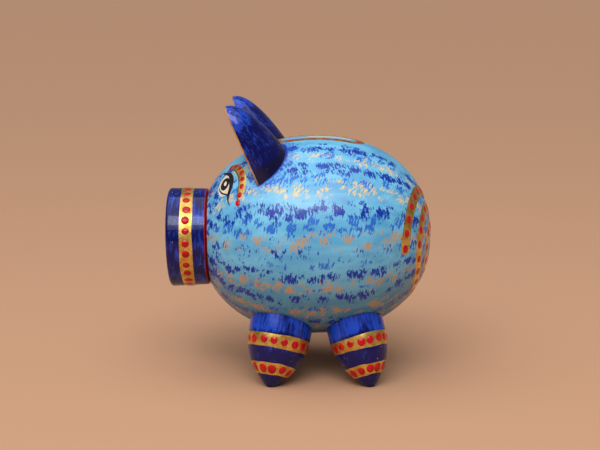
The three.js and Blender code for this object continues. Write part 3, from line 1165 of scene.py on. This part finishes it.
eye = {
    "centre": Vector((-50.6, -24.2, 35.4)) * mm,
    "whiteFront": [(1.5, 8.2), (-1.6, 7.6), (-4.3, 6.0), (-6.2, 2.2), (-6.5, -1.2), (-5.2, -5.6),
                   (-3.2, -8.0), (0.6, -9.2)],
    "whiteBack": [(1.6, 8.1), (3.0, 6.6), (4.2, 4.0), (4.8, 1.0), (4.4, -2.0), (3.6, -5.0),
                  (2.6, -7.6), (0.8, -9.2)],
    "lidOuter": [(-4.0, 12.7), (-1.1, 11.0), (1.9, 8.7), (4.3, 5.9), (5.7, 2.4), (6.3, -0.8),
                 (5.9, -3.8), (4.4, -7.4), (2.8, -10.3), (1.5, -13.2), (1.4, -17.3)],
    "lidInner": [(-4.0, 12.5), (-2.9, 10.6), (-0.5, 8.1), (1.9, 5.0), (2.7, 2.0), (2.9, -1.4),
                 (2.9, -4.4), (1.8, -7.4), (0.7, -10.5), (0.6, -13.6), (1.2, -17.3)],
    "lineOuter": [(-5.8, 0.8), (-5.2, -2.0), (-3.7, -5.3), (-1.5, -7.8), (0.9, -9.5)],
    "lineInner": [(-5.5, 0.8), (-4.4, -2.2), (-2.8, -5.0), (-1.0, -7.0), (1.2, -8.8)],
    "iris": (-0.5 * mm, 0.1 * mm, 3.5 * mm, 4.7 * mm),
    "glint": (0.0, -0.1 * mm, 1.1 * mm, 1.7 * mm),
}
brow = {
    "outer": [(0.0, 12.0), (0.7, 14.3), (2.7, 15.3), (5.4, 14.2), (8.1, 11.8), (10.9, 8.1),
              (13.2, 3.5), (14.4, -0.8), (14.7, -4.6), (14.2, -8.6), (12.8, -12.4), (10.6, -15.2),
              (8.6, -16.8)],
    "inner": [(0.2, 11.8), (1.6, 11.5), (3.4, 10.8), (5.2, 8.9), (7.0, 6.4), (8.5, 3.2),
              (9.5, -0.4), (9.9, -3.6), (9.7, -6.8), (8.9, -9.8), (8.1, -12.6), (7.4, -14.6),
              (7.6, -16.4)],
    "lineWidth": (0.4, 0.24),  # of the dark line along its inner edge
    "dots": [(2.3, 13.3), (6.5, 11.2), (9.8, 6.9), (11.6, 1.9), (12.2, -3.6), (11.4, -8.8),
             (9.3, -13.9), (7.2, -18.2)],
    "dotSize": 1.75 * mm,
}
for side, mirrored in (("left", False), ("right", True)):
    surface = onPatch(eye["centre"], mirrored)

    def fill(one, other, steps, across, layer=0, surface=surface):
        return layFilm(steps, across, between(surface, one, other), pigCentre, layer)

    def oval(middleX, middleY, halfX, halfY, layer, surface=surface):
        def place(along, across):
            angle = math.pi * along
            x, y = -math.cos(angle), math.sin(angle) * across
            return surface(middleX + halfX * x, middleY + halfY * y)
        return layFilm(18, 8, place, pigCentre, layer)

    white = fill(eye["whiteFront"], eye["whiteBack"], 28, 8)
    finish(white, "eye_white_" + side, "white_paint", smooth=50)
    lid = fill(eye["lidOuter"], eye["lidInner"], 48, 6, 1)
    line = fill(eye["lineOuter"], eye["lineInner"], 24, 2, 1)
    iris = oval(*eye["iris"], 1)
    innerLine = [Vector(p) for p in brow["inner"][2:]]
    shifted = [p - Vector(brow["lineWidth"]) for p in innerLine]
    shadow = fill(innerLine, shifted, 48, 2)
    finish(joinPieces([lid, line, iris, shadow]), "eye_black_" + side, "black_paint", smooth=50)
    finish(oval(*eye["glint"], 2), "eye_glint_" + side, "white_paint", smooth=50)
    finish(fill(brow["outer"], brow["inner"], 56, 6), "brow_band_" + side, "gold_paint")
    dice = random.Random(31 if mirrored else 30)
    spots = []
    for x, y in brow["dots"]:
        size = brow["dotSize"] * dice.uniform(0.92, 1.08)

        def spot(dx, dy, x=x, y=y, surface=surface):
            return surface(x * mm + dx, y * mm + dy)
        spots.append(((size, size * 1.15), spot))
    finish(stampDots(spots), "brow_dots_" + side, "red_paint", smooth=50)
print("eyes painted")

tailSpiral = {
    "across": -6 * mm,  # of its middle, from the tail's pole
    "up": -8 * mm,
    "reach": 36.4 * mm,
    "step": 10.5 * mm,  # closer at each turn
    "bulge": 3.4 * mm,  # stretches it along one slant
    "bulgeAt": 51,  # degrees
    "start": 5,  # degrees, from level on the pig's left, going up
    "end": 1000,
    "roundedEnd": 5,
    "halfWidth": 3.4 * mm,
    "dotGap": 8.5 * mm,
    "dotSize": 2.4 * mm,
}
spiralWaver = [wander(n, 0.28 * mm, (7, 13, 19, 31)) for n in (3, 4)]


def spiralSpot(share):
    turned = tailSpiral["start"] + (tailSpiral["end"] - tailSpiral["start"]) * share
    bulge = tailSpiral["bulge"] * math.cos(math.radians(2 * (turned - tailSpiral["bulgeAt"])))
    shrink = min(1, (tailSpiral["end"] + 60 - turned) / 400)
    reach = tailSpiral["reach"] - tailSpiral["step"] * turned / 360 + bulge * shrink
    across = tailSpiral["across"] - reach * math.cos(math.radians(turned))
    up = tailSpiral["up"] + reach * math.sin(math.radians(turned))
    girth = math.hypot(across, up)
    power = pigBody["squareness"]
    station = pigBody["halfLength"] * (1 - (girth / pigBody["radius"]) ** power) ** (1 / power)
    return Vector((station, across, up))


def spiralPlace(share, side):
    spot = spiralSpot(share)
    way = (spiralSpot(min(1, share + 0.001)) - spiralSpot(max(0, share - 0.001))).normalized()
    outward = bodyLevel(spot)[1].normalized()
    half = tailSpiral["halfWidth"] + spiralWaver[0 if side < 0 else 1](share)
    fromEnd = min(share, 1 - share) * tailSpiral["end"] / tailSpiral["roundedEnd"]
    half *= max(0.0, 1 - (1 - min(1, fromEnd)) ** 4) ** 0.5
    return inScene(ontoBody(spot + way.cross(outward) * side * half))


spiral = layFilm(420, 6, spiralPlace, pigCentre)
finish(spiral, "tail_spiral", "gold_paint")
dice = random.Random(12)
spots, walked, last = [], tailSpiral["dotGap"] * 0.6, spiralSpot(0)
walkSteps = 2000
for step in range(1, walkSteps + 1):
    here = spiralSpot(step / walkSteps)
    walked += (here - last).length
    last = here
    if walked > tailSpiral["dotGap"] and step < walkSteps - 15:
        walked = dice.uniform(-0.6, 0.6) * mm
        outward = bodyLevel(here)[1].normalized()
        way = (spiralSpot(step / walkSteps + 0.001) - here).normalized()

        def spot(x, y, here=here, way=way, outward=outward):
            return inScene(ontoBody(here + way * x + outward.cross(way) * y, outward))
        size = tailSpiral["dotSize"] * dice.uniform(0.92, 1.08)
        spots.append(((size * 1.08, size * 0.95), spot))
finish(stampDots(spots), "tail_dots", "red_paint", smooth=50)
print("tail painted")

slotFrame = {
    "station": 3.4 * mm,
    "halfLength": 24.8 * mm,  # to the middle of the band
    "halfWidth": 7.9 * mm,
    "corner": 6.5 * mm,
    "halfBand": 2.35 * mm,
    "dashGap": 6.55 * mm,
    "dashSize": (1.75 * mm, 1.2 * mm),
}


def roundedLoop(distance, grow):
    # A point on a rounded rectangle grown by a little, by the distance round its middle line.
    corner = slotFrame["corner"]
    straightX, straightY = slotFrame["halfLength"] - corner, slotFrame["halfWidth"] - corner
    quarter = corner * math.pi / 2
    parts = [(2 * straightX, 0), (quarter, 1), (2 * straightY, 0), (quarter, 1)] * 2
    angle, x, y = 0.0, -straightX, -straightY - corner
    for length, turning in parts:
        part = min(distance, length)
        if turning:
            swing = part / corner
            centre = Vector((x - corner * math.sin(angle), y + corner * math.cos(angle)))
            angle += swing
            x, y = centre.x + corner * math.sin(angle), centre.y - corner * math.cos(angle)
        else:
            x, y = x + part * math.cos(angle), y + part * math.sin(angle)
        distance -= part
        if distance <= 0:
            break
    return Vector((x + math.sin(angle) * grow, y - math.cos(angle) * grow)), angle


loopCorner = slotFrame["corner"]
loopLength = 4 * (slotFrame["halfLength"] + slotFrame["halfWidth"] - 2 * loopCorner)
loopLength += 2 * math.pi * loopCorner
loopWaver = [wander(n, 0.16 * mm, (2, 5, 9, 14)) for n in (21, 22)]


def onBack(x, y):
    # Surface near the top of the body, by its station and distance to the right.
    return inScene(ontoBody(Vector((x, y, pigBody["radius"])), Vector((0, 0, 1))))


def loopPlace(along, side):
    half = slotFrame["halfBand"] + loopWaver[0 if side < 0 else 1](along)
    spot, angle = roundedLoop(along % 1 * loopLength, side * half)
    return onBack(slotFrame["station"] + spot.x, spot.y)


finish(layFilm(220, 6, loopPlace, pigCentre), "slot_band", "gold_paint")
dashes, count = [], round(loopLength / slotFrame["dashGap"])
for index in range(count):
    spot, angle = roundedLoop(loopLength * (index + 0.3) / count, 0)

    def put(x, y, spot=spot, angle=angle):
        return onBack(slotFrame["station"] + spot.x + x * math.cos(angle) - y * math.sin(angle),
                      spot.y + x * math.sin(angle) + y * math.cos(angle))
    dashes.append((slotFrame["dashSize"], put))
finish(stampDots(dashes), "slot_dashes", "red_paint", smooth=50)

finish(body, "body_turned", "sky_blue_paint", material=makeBodyPaint(earPieces["left"][1]))
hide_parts("body_shell")
bpy.data.objects.remove(plainDot)
print("body painted")


# Floor, light and camera

studio = {
    "floorShade": colour(196, 150, 117),
    "worldShade": colour(238, 234, 236),
    "worldStrength": 0.19,
    "skyStrength": 2.2,
    "skySpread": 90,  # degrees
    "skyPlace": (-0.2, -0.35, 1.2),
    "keyPower": 7.5,
    "keySize": (0.95, 0.5),
    "keyPlace": (-0.12, -0.84, 1.05),
    "lampTarget": (0, 0, 0.08),
    "floorSize": 60,
}
bpy.ops.mesh.primitive_plane_add(size=studio["floorSize"], location=(0, 0, 0))
floor = bpy.context.object
floor.name = "floor"
floorPaint = Paint("floor_paper", Roughness=0.85, Base_Color=studio["floorShade"])
floor.data.materials.append(floorPaint.material)

bpy.context.scene.view_settings.view_transform = "Standard"
world = bpy.context.scene.world or bpy.data.worlds.new("studio")
bpy.context.scene.world = world
world.use_nodes = True
sky = next(n for n in world.node_tree.nodes if n.type == "BACKGROUND")
sky.inputs["Color"].default_value = studio["worldShade"]
sky.inputs["Strength"].default_value = studio["worldStrength"]


def addLamp(name, kind, strength, place):
    bpy.ops.object.light_add(type=kind, location=place)
    lamp = bpy.context.object
    lamp.name, lamp.data.energy = name, strength
    aim = Vector(studio["lampTarget"]) - Vector(place)
    lamp.rotation_euler = aim.to_track_quat("-Z", "Y").to_euler()
    return lamp.data


skylight = addLamp("skylight", "SUN", studio["skyStrength"], studio["skyPlace"])
skylight.angle = math.radians(studio["skySpread"])
key = addLamp("key", "AREA", studio["keyPower"], studio["keyPlace"])
key.shape = "RECTANGLE"
key.size, key.size_y = studio["keySize"]

view = {
    "target": Vector((0.21, 0, 88.1)) * mm,
    "distance": 766 * mm,
    "azimuth": 0.8,  # degrees, towards the tail
    "elevation": 10.9,
    "lens": 76.6,
    "sensor": 36,
}
around, above = math.radians(view["azimuth"]), math.radians(view["elevation"])
level = math.cos(above)
back = Vector((math.sin(around) * level, -math.cos(around) * level, math.sin(above)))
bpy.ops.object.camera_add(location=view["target"] + back * view["distance"])
camera = bpy.context.object
camera.rotation_euler = (-back).to_track_quat("-Z", "Y").to_euler()
camera.data.lens, camera.data.sensor_width = view["lens"], view["sensor"]
camera.data.clip_start, camera.data.clip_end = 0.01, 100
bpy.context.scene.camera = camera
print("studio ready")
